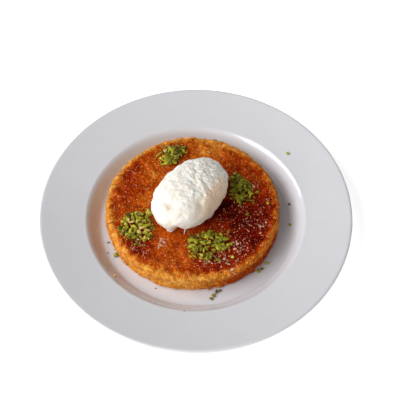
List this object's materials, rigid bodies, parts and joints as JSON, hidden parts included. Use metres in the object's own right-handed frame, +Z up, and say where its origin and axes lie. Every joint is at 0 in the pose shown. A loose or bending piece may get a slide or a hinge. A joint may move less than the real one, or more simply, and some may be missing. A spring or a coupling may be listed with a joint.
{
  "type": "kunafa with clotted cream",
  "caption": "Round browned kunafa on a wide-rimmed white plate, topped with an oval scoop of clotted cream and low heaps of chopped pistachio.",
  "frame": {"origin": "middle of the plate's foot ring, on the surface that the plate stands on", "axes": "+Z up, +X to the right and +Y away as the food is looked at from the front"},
  "size_m": [0.24, 0.24, 0.0573],
  "materials": {
    "porcelain": "smooth glossy white glaze",
    "browned_crust": "fine browned pastry crumb, wet with syrup",
    "clotted_cream": "thick white cream with fine curds",
    "pistachio": "chopped green nut with some brown skin"
  },
  "bodies": {
    "root": {"plate": "porcelain", "kunafa": "browned_crust", "clotted_cream": "clotted_cream", "pistachio_heap_back": "pistachio", "pistachio_heap_left": "pistachio", "pistachio_heap_front": "pistachio", "pistachio_heap_right": "pistachio"}
  },
  "joints": []
}
